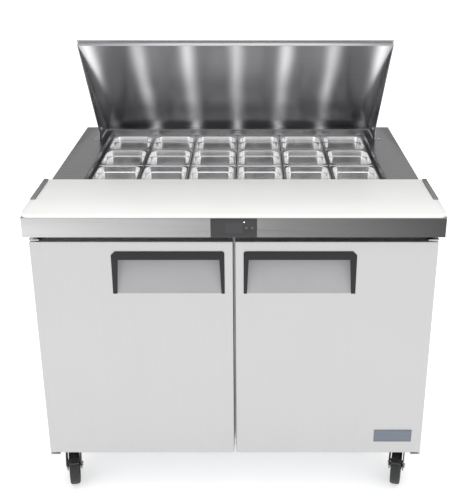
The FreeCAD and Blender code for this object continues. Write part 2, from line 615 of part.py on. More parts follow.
def fan_shape(radius, hub_radius, depth, blade_count):
    """A fan about the local Z axis: hub and pitched blades."""
    root = 4            # how deep a blade is set into the hub
    thick = 1.6
    pitch = 24
    chord = 0.6 * hub_radius + 14
    fan = Part.makeCylinder(hub_radius, depth)
    for step in range(blade_count):
        corner = FreeCAD.Vector(hub_radius - root, -chord / 2, (depth - thick) / 2)
        blade = Part.makeBox(radius - hub_radius + root, chord, thick, corner)
        blade.rotate(FreeCAD.Vector(0, 0, depth / 2), FreeCAD.Vector(1, 0, 0), pitch)
        blade.rotate(FreeCAD.Vector(), FreeCAD.Vector(0, 0, 1), 360 * step / blade_count)
        fan = fan.fuse(blade)
    return fan


def fan(label, shape, direction, centre):
    """A fan placed with its axis along one direction."""
    piece = doc.addObject("Part::Feature", label)
    piece.Shape = shape
    turn = FreeCAD.Rotation(FreeCAD.Vector(0, 0, 1), direction)
    piece.Placement = FreeCAD.Placement(FreeCAD.Vector(*centre), turn)
    return node(piece, label)


def coil(name, label, x, y, z, fins, along):
    """A finned block: thin plates along one axis with tubes through them."""
    x, y, z = (tuple(f"({end})" for end in span) for span in (x, y, z))
    low, high = x if along == "x" else y
    pieces = []
    for step in range(fins):
        at = f"{low} + ({high} - {low} - 1) * {step} / {fins - 1}"
        thin = (at, f"{at} + 1")
        pieces.append(box("fin", thin if along == "x" else x, thin if along == "y" else y, z))
    deep = x if along == "y" else y
    for level in (0.15, 0.38, 0.62, 0.85):
        height = f"{z[0]} + ({z[1]} - {z[0]}) * {level}"
        middle = f"({deep[0]} + {deep[1]}) / 2"
        pieces.append(cylinder("tube", along, f"{low} - 6", f"{high} + 6", 4.5, (middle, height)))
    node(fuse(name, *pieces), label)


def cooling():
    """Evaporator inside the cabinet and condensing unit behind it."""
    steel = "sheet_steel"
    shroud = shell("shroud", both("shroud_half"), ("shroud_front", "cavity_back - 2"),
                   ("shroud_low", UNDER_RAIL), both(f"shroud_half - {steel}"),
                   (f"shroud_front + {steel}", "cavity_back + 20"),
                   (f"shroud_low + {steel}", f"{UNDER_RAIL} - {steel}"))
    front_wall = ("shroud_front - 10", "shroud_front + 10")
    fan_hole = cylinder("fan_hole", "y", *front_wall, 60, ("0", "evaporator_high"))
    vents = [box("vent", side_span(side, "120", "220"), front_wall,
                 ("evaporator_high - 42", "evaporator_high + 42")) for side in (-1, 1)]
    node(cut("shroud_cut", shroud, fan_hole, *vents), "evaporator_shroud")
    coil("evaporator", "evaporator_coil", both("shroud_half - 25"),
         ("cavity_back - 58", "cavity_back - 14"),
         ("evaporator_high - 50", "evaporator_high + 52"), 28, "x")
    fan("evaporator_fan", fan_shape(54, 17, 20, 5), FreeCAD.Vector(0, 1, 0),
        (0, size("shroud_front") + 4, size("evaporator_high")))

    at, along = "compressor_at", "machine_along"
    can = cylinder("can", "z", f"{BASE_TOP} + 12", f"{BASE_TOP} + 190", "compressor_radius",
                   (at, along))
    plinth = box("plinth", (f"{at} - 85", f"{at} + 85"), (f"{along} - 70", f"{along} + 70"),
                 (BASE_TOP, f"{BASE_TOP} + 14"))
    node(fuse("compressor_body", rounded("can_round", can, 34, circular), plinth), "compressor")
    coil("condenser", "condenser_coil", ("condenser_at", "condenser_at + condenser_thick"),
         (f"{along} - 75", f"{along} + 75"), ("condenser_high - 110", "condenser_high + 115"),
         30, "y")
    fan("condenser_fan", fan_shape(80, 22, 26, 5), FreeCAD.Vector(1, 0, 0),
        (size("condenser_at") - 43, size(along), size("condenser_high")))
    middle = (along, "condenser_high")
    motor = cylinder("motor", "x", "condenser_at - 135", "condenser_at - 65", 40, middle)
    shaft = cylinder("motor_shaft", "x", "condenser_at - 65", "condenser_at - 45", 6, middle)
    leg = box("motor_leg", ("condenser_at - 113", "condenser_at - 87"),
              (f"{along} - 15", f"{along} + 15"), (BASE_TOP, "condenser_high - 25"))
    foot = box("motor_foot", ("condenser_at - 130", "condenser_at - 70"),
               (f"{along} - 40", f"{along} + 40"), (BASE_TOP, f"{BASE_TOP} + 3"))
    node(fuse("motor_body", motor, shaft, leg, foot), "condenser_motor")
    node(cut("inlet", inlet_housing("housing"), inlet_way("housing_way")), "power_inlet")


CASTERS = {
    "front_left": (-1, -1, "front_left_yaw"), "front_right": (1, -1, "front_right_yaw"),
    "rear_left": (-1, 1, "rear_left_yaw"), "rear_right": (1, 1, None),
}


PEDAL_LINE = ("pedal_along", "pedal_high")


def on_caster(piece, side, end, yaw):
    """Puts a piece built about its swivel axis at one corner of the cabinet."""
    angle = size(yaw) if yaw else 0
    turn = FreeCAD.Rotation(FreeCAD.Vector(0, 0, 1), angle)
    piece.Placement = FreeCAD.Placement(FreeCAD.Vector(), turn)
    return place(piece, f"{side} * caster_across", f"{end} * caster_along")


def fork():
    """Crown, kingpin, two legs, axle and the cross pin of the brake pedal."""
    corners = [
        ("crown_front", "crown_top"), ("crown_front", "crown_top - 16"),
        ("-caster_trail + 16", "wheel_radius - 8"), ("-caster_trail", "wheel_radius - 16"),
        ("-caster_trail - 16", "wheel_radius - 8"), ("-caster_trail - 24", "wheel_radius + 30"),
        ("pedal_along - 8", "pedal_high - 10"), ("pedal_along - 11", "pedal_high + 3"),
        ("pedal_along", "pedal_high + 10"), ("pedal_along + 26", "crown_top")]
    outer = "leg_inner + leg_sheet"
    legs = [outline("leg", "YZ_Plane", corners, *side_span(side, "leg_inner", outer))
            for side in (1, -1)]
    crown = box("crown", both(outer), ("-50", "crown_front"),
                ("crown_top - crown_thick", "crown_top"))
    kingpin = cylinder("kingpin", "z", "crown_top - 4", "crown_top + 9", "kingpin_radius",
                       ("0", "0"))
    axle = cylinder("axle", "x", "-27", "27", "axle_radius", ("-caster_trail", "wheel_radius"))
    cross = cylinder("cross", "x", "-leg_inner - 1", "leg_inner + 1", "pedal_pin", PEDAL_LINE)
    return fuse("fork", *legs, crown, kingpin, axle, cross)


def wheel():
    """Tyre with rounded shoulders on a hub, bored for its axle."""
    centre = ("-caster_trail", "wheel_radius")
    tread = cylinder("tread", "x", *both("wheel_width / 2"), "wheel_radius", centre)
    tyre = rounded("tyre", tread, 6, circular)
    dishes = [cylinder("dish", "x", *side_span(side, "wheel_width / 2 - 6", "wheel_width"),
                       "wheel_radius - 16", centre) for side in (1, -1)]
    hub = cylinder("hub", "x", "-19", "19", 13, centre)
    bore = cylinder("wheel_bore", "x", "-40", "40", f"axle_radius + {RUNNING}", centre)
    return cut("wheel", fuse("wheel_hub", cut("wheel_disc", tyre, *dishes), hub), bore)


def brake():
    """Pedal on a sleeve round the fork's cross pin."""
    sleeve = cylinder("sleeve", "x", *both("pedal_half"), "pedal_pin + 3", PEDAL_LINE)
    pedal = box("pedal", both("pedal_half"), ("pedal_along - 21", "pedal_along"),
                ("pedal_high + 1", "pedal_high + 6"))
    bore = cylinder("pedal_bore", "x", *both("pedal_half + 14"), f"pedal_pin + {RUNNING}",
                    PEDAL_LINE)
    return cut("brake", fuse("brake_lever", sleeve, pedal), bore)


def casters():
    """Mounting plates, forks, wheels and the brake pedals of the front pair."""
    plates = []
    for corner, (side, end, yaw) in CASTERS.items():
        plate = box("caster_plate", both("plate_square"), both("plate_square"),
                    ("crown_top + 8", "base_height"))
        race = cylinder("race", "z", "crown_top + 1", "crown_top + 8", "race_radius", ("0", "0"))
        hole = cylinder("race_hole", "z", "crown_top - 10", "crown_top + 9.5",
                        f"kingpin_radius + {RUNNING}", ("0", "0"))
        whole = cut("caster_top", fuse("caster_race", plate, race), hole)
        plates.append(on_caster(whole, side, end, None))
        node(on_caster(fork(), side, end, yaw), "caster_fork_" + corner)
        node(on_caster(wheel(), side, end, yaw), "caster_wheel_" + corner)
        if end < 0:
            node(on_caster(brake(), side, end, yaw), "brake_lever_" + corner.split("_")[1])
    node(group("caster_plate_set", *plates), "caster_plates")


cabinet()
top()
controls()
board()
pans()
lid()
doors()
shelves()
cooling()
casters()

doc.recompute()
failed = [item.Label for item in doc.Objects if {"Invalid", "Error"} & set(item.State)]
failed += [piece.Label for piece in nodes if piece.Shape.isNull() or not piece.Shape.isValid()]
if failed:
    raise RuntimeError("These objects did not build: " + ", ".join(failed))
for piece in nodes:
    piece.Shape.exportStep(f"parts/{piece.Label}.step")
print(len(nodes), "pieces written")
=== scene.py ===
# %% [markdown]
# # Sandwich prep table
# A two-door refrigerated table on casters with its pan cover open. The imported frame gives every
# piece's true size and place; this file gives the pieces their folded edges, drawn steel, moulded
# plastic and rubber. Everything is in metres.

# %% Load the frame
import json
import math
import bmesh
import bpy
from mathutils import Matrix, Vector

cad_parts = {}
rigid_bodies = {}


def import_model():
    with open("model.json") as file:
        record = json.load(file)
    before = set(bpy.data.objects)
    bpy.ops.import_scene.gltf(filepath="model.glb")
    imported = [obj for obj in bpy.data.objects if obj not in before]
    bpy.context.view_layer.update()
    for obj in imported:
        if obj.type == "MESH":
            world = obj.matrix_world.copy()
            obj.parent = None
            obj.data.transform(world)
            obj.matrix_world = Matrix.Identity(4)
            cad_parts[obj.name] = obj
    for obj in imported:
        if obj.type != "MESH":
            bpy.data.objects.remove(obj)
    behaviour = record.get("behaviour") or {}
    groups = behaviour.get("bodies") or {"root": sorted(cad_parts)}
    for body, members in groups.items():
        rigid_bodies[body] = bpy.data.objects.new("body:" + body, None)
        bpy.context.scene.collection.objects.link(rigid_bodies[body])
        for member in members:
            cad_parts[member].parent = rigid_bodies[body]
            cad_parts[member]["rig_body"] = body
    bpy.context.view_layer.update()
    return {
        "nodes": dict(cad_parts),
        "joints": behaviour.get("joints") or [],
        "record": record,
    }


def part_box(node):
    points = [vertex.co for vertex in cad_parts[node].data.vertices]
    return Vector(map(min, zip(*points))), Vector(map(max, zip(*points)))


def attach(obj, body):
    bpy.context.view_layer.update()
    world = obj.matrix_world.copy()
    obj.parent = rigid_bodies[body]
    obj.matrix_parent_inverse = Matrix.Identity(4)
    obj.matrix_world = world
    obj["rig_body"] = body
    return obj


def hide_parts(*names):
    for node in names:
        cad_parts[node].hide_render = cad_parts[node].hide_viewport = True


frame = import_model()
nodes = frame["nodes"]
joints = {joint["name"]: joint for joint in frame["joints"]}
slots = {entry["node"]: entry["material_slot"] for entry in frame["record"]["subparts"]}
MM = 0.001

# %% [markdown]
# ## Colour and node helpers
# A finish is easiest to judge as a hex colour, as a paint maker gives it. Blender works in linear
# light, so one function turns hex to linear. One more adds a node with its settings and links, which
# keeps each material short enough to read as a recipe.

# %% Helpers for materials


def colour(hexcode):
    """Linear RGBA from an sRGB hex code."""
    values = [int(hexcode[start:start + 2], 16) / 255 for start in (1, 3, 5)]
    linear = [value / 12.92 if value <= 0.04045 else ((value + 0.055) / 1.055) ** 2.4 for value in values]
    return (*linear, 1.0)


def add(tree, kind, links=None, **settings):
    """A new node; settings name its properties or its inputs, links maps inputs to output sockets."""
    made = tree.nodes.new(kind)
    for name, value in settings.items():
        if hasattr(made, name):
            setattr(made, name, value)
        else:
            made.inputs[name.replace("_", " ")].default_value = value
    for name, socket in (links or {}).items():
        tree.links.new(socket, made.inputs[name])
    return made


def start_material(name, hexcode, metallic, roughness):
    """A material with its shader's plain values set; returns it with its tree, shader and place."""
    material = bpy.data.materials.new(name)
    material.use_nodes = True
    tree = material.node_tree
    shader = tree.nodes["Principled BSDF"]
    shader.inputs["Base Color"].default_value = colour(hexcode)
    shader.inputs["Metallic"].default_value = metallic
    shader.inputs["Roughness"].default_value = roughness
    place = add(tree, "ShaderNodeTexCoord").outputs["Object"]
    return material, tree, shader, place


print("helpers ready")

# %% [markdown]
# ## Stainless steel
# Sheet 304 steel comes with a brushed finish: thousands of fine parallel scratches along the
# rolling direction. They spread a reflection across the grain and leave it sharp along the grain.
# Here a noise stretched along one axis gives the bump and a little change of roughness and tone.
# Real scratches are about 0.1 mm wide, too fine to show, so they are drawn about 1.5 mm wide. On the
# polished inside of the cover the spread itself matters, so there the shader is anisotropic, along a
# UV layer called grain that every folded piece carries.

# %% Brushed steel recipe
GRAIN_LENGTH = {"x": (1 / 180, 1, 1), "z": (1, 1, 1 / 180)}


def brushed_steel(name, light, dark, roughness, grain="x", width_mm=1.5, depth_mm=0.02, smudge=0.06,
                  spread=0.0):
    """Steel sheet with its grain along one axis and faint cloudy marks from handling."""
    material, tree, shader, place = start_material(name, light, 1.0, roughness)
    if spread:
        shader.inputs["Anisotropic"].default_value = spread
        shader.inputs["Anisotropic Rotation"].default_value = 0.25
        along_grain = add(tree, "ShaderNodeTangent", direction_type="UV_MAP", uv_map="grain")
        tree.links.new(along_grain.outputs[0], shader.inputs["Tangent"])
    along = add(tree, "ShaderNodeMapping", {"Vector": place}, Scale=GRAIN_LENGTH[grain])
    grain_noise = add(tree, "ShaderNodeTexNoise", {"Vector": along.outputs[0]},
                      Scale=1 / (width_mm * MM), Detail=3.0, Roughness=0.6)
    cloud = add(tree, "ShaderNodeTexNoise", {"Vector": place}, Scale=1 / 0.22, Detail=2.0)
    tone = add(tree, "ShaderNodeMix", {"Factor": grain_noise.outputs["Fac"]}, data_type="RGBA")
    tone.inputs[6].default_value = colour(dark)
    tone.inputs[7].default_value = colour(light)
    tree.links.new(tone.outputs[2], shader.inputs["Base Color"])
    streaks = add(tree, "ShaderNodeMapRange", {"Value": grain_noise.outputs["Fac"]},
                  To_Min=roughness - 0.05, To_Max=roughness + 0.05)
    marks = add(tree, "ShaderNodeMapRange", {"Value": cloud.outputs["Fac"]},
                To_Min=-smudge, To_Max=smudge)
    total = add(tree, "ShaderNodeMath", {0: streaks.outputs[0], 1: marks.outputs[0]}, operation="ADD")
    tree.links.new(total.outputs[0], shader.inputs["Roughness"])
    bump = add(tree, "ShaderNodeBump", {"Height": grain_noise.outputs["Fac"]},
               Strength=0.35, Distance=depth_mm * MM)
    tree.links.new(bump.outputs[0], shader.inputs["Normal"])
    return material


steel_top = brushed_steel("brushed_304_worktop", "#b0b0b2", "#9a9a9c", 0.27)
lid_steel_painted_reflections = brushed_steel("brushed_304_cover_inside_painted_reflections", "#f4f4f6", "#e0e0e2", 0.30, smudge=0.03, spread=0.9)
steel_side = brushed_steel("brushed_304_cabinet", "#cfcfd0", "#bcbcbd", 0.36, grain="z")
steel_door = brushed_steel("fine_brushed_door_sheet", "#c6c6c6", "#bebebe", 0.46, grain="z", smudge=0.03)
fascia_steel_painted_reflection = brushed_steel("brushed_304_fascia_painted_reflection", "#cccccc", "#b8b8b8", 0.22, smudge=0.03)
print("steel finishes: 5")

# %% [markdown]
# ## Painted reflections
# Two sheets are not even from end to end, because reflections are painted into their colour. The
# fascia is painted bright at its left end and darker to the right, a painted reflection of
# surroundings that are bright on the left and dark on the right. The inside of the cover has
# painted reflections as soft upright bands, one over each gap between two columns of pans, where
# the bright pan rims would show. Both are made by multiplying the sheet's base colour by a second,
# slower pattern.

# %% Painted reflections on the fascia and the cover
# Colour stops of the fascia's painted reflection, bright at the left end and dark at the right.
FASCIA_PAINTED_REFLECTION = [(-0.61, "#ffffff"), (-0.2, "#d6d6d6"), (0.15, "#a0a0a0"), (0.61, "#686868")]
PAN_PITCH = 0.1625
WAVES_PER_UNIT = 20 / math.tau  # waves in one metre of a wave texture at scale 1
# Sharpness of the painted reflection bands on the cover's inside.
PAINTED_BAND_SHARPNESS = 5.0


def multiply_base(material, factor):
    """Multiplies a material's base colour by the colour from a socket."""
    tree = material.node_tree
    base = tree.nodes["Principled BSDF"].inputs["Base Color"]
    blend = add(tree, "ShaderNodeMix", {6: base.links[0].from_socket, 7: factor},
                data_type="RGBA", blend_type="MULTIPLY", Factor=1.0)
    tree.links.new(blend.outputs[2], base)


def paint_reflection_along(material, reflection_stops):
    """Paints a reflection into a sheet's colour, running along the table through (place in metres, hex
    colour) stops.
    """
    tree = material.node_tree
    place = add(tree, "ShaderNodeTexCoord").outputs["Object"]
    along = add(tree, "ShaderNodeSeparateXYZ", {"Vector": place})
    first, last = reflection_stops[0][0], reflection_stops[-1][0]
    share = add(tree, "ShaderNodeMapRange", {"Value": along.outputs["X"]}, From_Min=first, From_Max=last)
    ramp = add(tree, "ShaderNodeValToRGB", {"Fac": share.outputs[0]})
    stops = ramp.color_ramp.elements
    for number, (spot, hexcode) in enumerate(reflection_stops):
        position = (spot - first) / (last - first)
        stop = stops[number] if number < 2 else stops.new(position)
        stop.position = position
        stop.color = colour(hexcode)
    multiply_base(material, ramp.outputs["Color"])


def paint_reflection_bands(material, pitch, dark, light):
    """Paints reflections into a sheet's colour as soft upright bands, one at the middle plane and the
    others a pitch apart.
    """
    tree = material.node_tree
    place = add(tree, "ShaderNodeTexCoord").outputs["Object"]
    level = add(tree, "ShaderNodeMapping", {"Vector": place}, Scale=(1, 1, 0.05))
    wave = add(tree, "ShaderNodeTexWave", {"Vector": level.outputs[0]}, bands_direction="X",
               Scale=1 / (WAVES_PER_UNIT * pitch), Distortion=0.5, Detail=1.0, Detail_Scale=1.5,
               Phase_Offset=math.pi)
    crest = add(tree, "ShaderNodeMath", {0: wave.outputs["Fac"]}, operation="POWER")
    crest.inputs[1].default_value = PAINTED_BAND_SHARPNESS
    band = add(tree, "ShaderNodeMix", {"Factor": crest.outputs[0]}, data_type="RGBA")
    band.inputs[6].default_value = colour(dark)
    band.inputs[7].default_value = colour(light)
    multiply_base(material, band.outputs[2])


# Painted reflection on the fascia: its colour runs from bright at the left to dark at the right.
paint_reflection_along(fascia_steel_painted_reflection, FASCIA_PAINTED_REFLECTION)
# Painted reflections on the cover's inside: bright upright bands over the gaps between pan columns.
paint_reflection_bands(lid_steel_painted_reflections, PAN_PITCH, "#98989a", "#ffffff")
print("tones laid over: 2")

# %% [markdown]
# ## Drawn and plated metal
# The pans are pressed from bright annealed sheet and tumbled, so they are smoother than the brushed
# sheet and shine with soft, slightly wavy highlights. Back panel and grille are zinc coated; its
# crystals show as a faint patchwork, which a Voronoi texture draws.

# %% Pan steel, zinc sheet, plated hardware and cast parts


def wavy_metal(name, hexcode, roughness, wave_mm, depth_mm):
    """Bright pressed metal with a shallow wave in the surface."""
    material, tree, shader, place = start_material(name, hexcode, 1.0, roughness)
    wave = add(tree, "ShaderNodeTexNoise", {"Vector": place}, Scale=1 / (wave_mm * MM), Detail=1.0)
    bump = add(tree, "ShaderNodeBump", {"Height": wave.outputs["Fac"]}, Strength=0.5,
               Distance=depth_mm * MM)
    tree.links.new(bump.outputs[0], shader.inputs["Normal"])
    span = add(tree, "ShaderNodeMapRange", {"Value": wave.outputs["Fac"]},
               To_Min=roughness - 0.04, To_Max=roughness + 0.06)
    tree.links.new(span.outputs[0], shader.inputs["Roughness"])
    return material


def zinc_sheet(name, light, dark, crystal_mm):
    """Hot dipped zinc with its patchwork of crystals."""
    material, tree, shader, place = start_material(name, light, 1.0, 0.42)
    crystals = add(tree, "ShaderNodeTexVoronoi", {"Vector": place}, Scale=1 / (crystal_mm * MM))
    mixed = add(tree, "ShaderNodeMix", {"Factor": crystals.outputs["Color"]}, data_type="RGBA")
    mixed.inputs[6].default_value = colour(dark)
    mixed.inputs[7].default_value = colour(light)
    tree.links.new(mixed.outputs[2], shader.inputs["Base Color"])
    span = add(tree, "ShaderNodeMapRange", {"Value": crystals.outputs["Distance"]},
               To_Min=0.36, To_Max=0.50)
    tree.links.new(span.outputs[0], shader.inputs["Roughness"])
    return material


steel_pan = wavy_metal("bright_annealed_pan_steel", "#f6f6f6", 0.18, 40, 0.5)
zinc_hardware = wavy_metal("bright_zinc_plate", "#c9cacc", 0.26, 6, 0.05)
zinc = zinc_sheet("galvanised_sheet", "#b9bcbe", "#a2a5a8", 14)
coil_fins = wavy_metal("bare_aluminium_fins", "#c4c6c8", 0.35, 8, 0.1)
badge_metal = brushed_steel("brushed_aluminium_badge", "#7c838c", "#6a7078", 0.32, width_mm=1.2)
print("metals: 5 more")

# %% [markdown]
# ## Plastics, rubber and paint
# Cutting board polyethylene is planed and slightly waxy, with a fine pebble and faint knife marks.
# The handle trims are moulded ABS with a spark-eroded grain. Caster forks are powder coated, which
# leaves a soft orange peel. All share one recipe: base colour, a fine noise for the skin, and a
# second slow noise that varies tone a little, as dirt and light wear do.

# %% Moulded and coated finishes


def moulded(name, hexcode, worn, roughness, grain_mm, depth_mm, coat=0.0):
    """Plastic, rubber or paint with a grained skin and slight uneven wear."""
    material, tree, shader, place = start_material(name, hexcode, 0.0, roughness)
    shader.inputs["Coat Weight"].default_value = coat
    skin = add(tree, "ShaderNodeTexNoise", {"Vector": place}, Scale=1 / (grain_mm * MM), Detail=2.0)
    wear = add(tree, "ShaderNodeTexNoise", {"Vector": place}, Scale=1 / 0.12, Detail=4.0)
    tone = add(tree, "ShaderNodeMix", {"Factor": wear.outputs["Fac"]}, data_type="RGBA")
    tone.inputs[6].default_value = colour(hexcode)
    tone.inputs[7].default_value = colour(worn)
    tree.links.new(tone.outputs[2], shader.inputs["Base Color"])
    span = add(tree, "ShaderNodeMapRange", {"Value": wear.outputs["Fac"]},
               To_Min=roughness - 0.06, To_Max=roughness + 0.06)
    tree.links.new(span.outputs[0], shader.inputs["Roughness"])
    bump = add(tree, "ShaderNodeBump", {"Height": skin.outputs["Fac"]}, Strength=0.3,
               Distance=depth_mm * MM)
    tree.links.new(bump.outputs[0], shader.inputs["Normal"])
    return material


board_plastic = moulded("planed_white_polyethylene", "#f2f2f0", "#eaeae7", 0.42, 3, 0.05)
trim_plastic = moulded("black_grained_abs", "#0e0e10", "#151518", 0.62, 2, 0.06)
gloss_black = moulded("black_acrylic_plate", "#0b0b0d", "#101013", 0.16, 30, 0.02, coat=0.4)
scoop_plastic = moulded("grey_moulded_abs", "#a6a6a8", "#9a9a9c", 0.45, 2, 0.05)
liner_white = moulded("white_enamelled_liner", "#e4e6e6", "#dadddd", 0.35, 4, 0.03)
foam_skin = moulded("polyurethane_foam", "#d8c78e", "#c8b57a", 0.85, 3, 0.4)
seal_rubber = moulded("black_pvc_gasket", "#26262a", "#303034", 0.55, 2, 0.08)
key_plastic = moulded("grey_silicone_key", "#4a4a50", "#56565c", 0.4, 2, 0.04)
wire_coat = moulded("white_coated_wire", "#dcdcdc", "#cfcfcf", 0.35, 3, 0.05)
fan_plastic = moulded("black_nylon", "#1c1c1e", "#26262a", 0.5, 2, 0.06)
black_paint = moulded("black_stove_enamel", "#19191b", "#222225", 0.3, 5, 0.08)
powder_black = moulded("black_powder_coat", "#1e1e20", "#2a2a2d", 0.38, 2.5, 0.08)
tyre_rubber = moulded("black_caster_rubber", "#1b1b1d", "#2b2b2d", 0.6, 1.5, 0.15)
print("plastics, rubber and paint: 13")

# %% [markdown]
# ## Window of the temperature display
# A smoked acrylic pane over a dark module. It is nearly black and glossy, so it is made as dark
# plastic with a hard coat, not as clear glass: nothing behind it is meant to be seen.

# %% Display window finish
window_dark, window_tree, window_shader, window_place = start_material(
    "smoked_acrylic", "#15161c", 0.0, 0.08)
window_shader.inputs["Coat Weight"].default_value = 0.6
window_haze = add(window_tree, "ShaderNodeTexNoise", {"Vector": window_place}, Scale=60.0)
window_span = add(window_tree, "ShaderNodeMapRange", {"Value": window_haze.outputs["Fac"]},
                  To_Min=0.05, To_Max=0.14)
window_tree.links.new(window_span.outputs[0], window_shader.inputs["Roughness"])

lamp_glow, _, lamp_shader, _ = start_material("status_lamp", "#f4f4f4", 0.0, 0.3)
lamp_shader.inputs["Emission Color"].default_value = colour("#ffffff")
lamp_shader.inputs["Emission Strength"].default_value = 1.2
print("window and lamp ready")

# %% [markdown]
# ## Which finish goes where
# The record names a slot for every piece. A table from slot to material dresses all the pieces at
# once, and a few pieces that differ are named one by one. The foam block's open faces stand for the
# sheet that covers them in the pan rail and in the machine room, so it gets the zinc finish.

# %% Dress every piece
FINISH = {
    "stainless_satin": steel_top, "stainless_lid": lid_steel_painted_reflections, "stainless_doors": steel_door,
    "stainless_pans": steel_pan, "galvanised_sheet": zinc, "zinc_hardware": zinc_hardware,
    "white_polyethylene": board_plastic, "black_trim": trim_plastic, "grey_scoop": scoop_plastic,
    "white_liner": liner_white, "foam": foam_skin, "gasket_rubber": seal_rubber,
    "badge_plate": badge_metal, "window_glass": window_dark, "key_plastic": key_plastic,
    "coated_wire": wire_coat, "coil_aluminium": coil_fins, "fan_plastic": fan_plastic,
    "black_paint": black_paint, "caster_black": powder_black, "wheel_rubber": tyre_rubber,
}
OWN_FINISH = {
    "front_fascia": fascia_steel_painted_reflection, "control_plate": gloss_black, "lid_outer_skin": steel_top,
    "side_panel_left": steel_side, "side_panel_right": steel_side, "door_frame": steel_side,
    "door_left_core": liner_white, "door_right_core": liner_white, "lid_pivot_brackets": steel_top,
    "cabinet_foam": zinc,
}


def finish_of(name):
    """The material of a piece of the frame."""
    return OWN_FINISH.get(name, FINISH[slots[name]])


for name, piece in nodes.items():
    piece.data.materials.clear()
    piece.data.materials.append(finish_of(name))
print("dressed", len(nodes), "pieces")

# %% [markdown]
# ## Folded edges
# Sheet steel is folded, not cut to a knife edge, and moulded plastic leaves its mould with small
# radii. Light catches those edges. Each such piece is copied, its loose triangles are joined
# at their corners, and every sharp edge gets a small bevel. A bevel modifier would do the same, but
# the operator leaves a finished mesh.

# %% Helpers that make pieces


def new_piece(name, mesh, material, body, smooth_angle=35):
    """Links a finished bmesh as an object that rides on a body."""
    data = bpy.data.meshes.new(name)
    mesh.to_mesh(data)
    mesh.free()
    data.materials.append(material)
    piece = bpy.data.objects.new(name, data)
    bpy.context.scene.collection.objects.link(piece)
    for face in data.polygons:
        face.use_smooth = True
    data.set_sharp_from_angle(angle=math.radians(smooth_angle))
    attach(piece, body)
    return piece


def sharp_edges(mesh, degrees=30):
    """The edges where two faces meet at more than this angle."""
    limit = math.radians(degrees)
    return [edge for edge in mesh.edges if len(edge.link_faces) == 2 and edge.calc_face_angle() > limit]


def bevel(mesh, edges, width, segments=2):
    """Rounds the edges off."""
    bmesh.ops.bevel(mesh, geom=edges, offset=width, offset_type="OFFSET", segments=segments,
                    profile=0.5, affect="EDGES", clamp_overlap=True, material=-1)


def softened(name, width_mm, segments=2):
    """A copy of a piece of the frame with its sharp edges rounded."""
    mesh = bmesh.new()
    mesh.from_mesh(nodes[name].data)
    bmesh.ops.remove_doubles(mesh, verts=mesh.verts, dist=1e-5)
    bevel(mesh, sharp_edges(mesh), width_mm * MM, segments)
    grain = mesh.loops.layers.uv.new("grain")
    for face in mesh.faces:
        for loop in face.loops:
            spot = loop.vert.co
            loop[grain].uv = (spot.x + spot.y, spot.z - spot.y)
    piece = new_piece(name + "_rounded", mesh, finish_of(name), nodes[name]["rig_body"])
    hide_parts(name)
    return piece


SOFTENED = {
    "worktop": 0.6, "front_fascia": 0.6, "board_brackets": 0.6, "cutting_board": 1.6,
    "lid_outer_skin": 0.6, "lid_inner_panel": 0.4, "lid_pivot_brackets": 0.6, "lid_pins": 0.6,
    "door_left_handle_trim": 1.2, "door_right_handle_trim": 1.2,
    "door_left_handle_scoop": 0.6, "door_right_handle_scoop": 0.6, "door_hinge_brackets": 0.6,
    "door_badge": 0.7, "control_plate": 0.6, "button_up": 0.4, "button_down": 0.4, "door_left_core": 3,
    "door_right_core": 3, "door_left_gasket": 3.5, "door_right_gasket": 3.5, "pan_bars": 0.5,
    "side_panel_left": 0.5, "side_panel_right": 0.5, "rear_grille": 0.4, "compressor": 4,
}
for name, width in SOFTENED.items():
    softened(name, width)
for corner in ("front_left", "front_right", "rear_left", "rear_right"):
    softened("caster_fork_" + corner, 0.9)
for side in ("left", "right"):
    softened("brake_lever_" + side, 1.2)
print("pieces with rounded edges:", len(SOFTENED) + 6)

# %% [markdown]
# ## Door skins
# Each door is a folded tray of sheet steel about half a metre wide. Its front edges have a radius of
# several millimetres, more than the sheet's own thickness, so a copy with a bevel would not do. The
# door starts as a block, its front edges are rounded, and the hand recess is cut by slicing the
# block along the recess's edges and taking the front face out between the cuts.

# %% Doors
EDGE_RADIUS = 4 * MM


def cut_plane(mesh, point, normal):
    """Slices every face along a plane."""
    bmesh.ops.bisect_plane(mesh, geom=mesh.verts[:] + mesh.edges[:] + mesh.faces[:], dist=1e-6,
                           plane_co=point, plane_no=normal)


def door_skin(side):
    """The folded front tray of one door with an opening for its hand recess."""
    low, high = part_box(f"door_{side}_skin")
    hole_low, hole_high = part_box(f"door_{side}_handle_scoop")
    mesh = bmesh.new()
    bmesh.ops.create_cube(mesh, size=1.0)
    centre = (low + high) / 2
    bmesh.ops.scale(mesh, vec=high - low, verts=mesh.verts)
    bmesh.ops.translate(mesh, vec=centre, verts=mesh.verts)
    back = [face for face in mesh.faces if face.normal.y > 0.9]
    bmesh.ops.delete(mesh, geom=back, context="FACES_ONLY")
    bevel(mesh, [edge for edge in mesh.edges if not edge.is_boundary], EDGE_RADIUS, 4)
    inset = 0.5 * MM
    for x in (hole_low.x + inset, hole_high.x - inset):
        cut_plane(mesh, Vector((x, 0, 0)), Vector((1, 0, 0)))
    for z in (hole_low.z + 2 * inset, hole_high.z - inset):
        cut_plane(mesh, Vector((0, 0, z)), Vector((0, 0, 1)))
    mesh.faces.ensure_lookup_table()
    front = [face for face in mesh.faces
             if abs(face.calc_center_median().y - low.y) < 1e-4
             and hole_low.x < face.calc_center_median().x < hole_high.x
             and hole_low.z < face.calc_center_median().z < hole_high.z]
    bmesh.ops.delete(mesh, geom=front, context="FACES")
    bmesh.ops.solidify(mesh, geom=mesh.faces[:], thickness=1.0 * MM)
    name = f"door_{side}_skin"
    piece = new_piece(name + "_folded", mesh, steel_door, "door_" + side)
    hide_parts(name)
    return piece


for side in ("left", "right"):
    print("door skin:", door_skin(side).name)

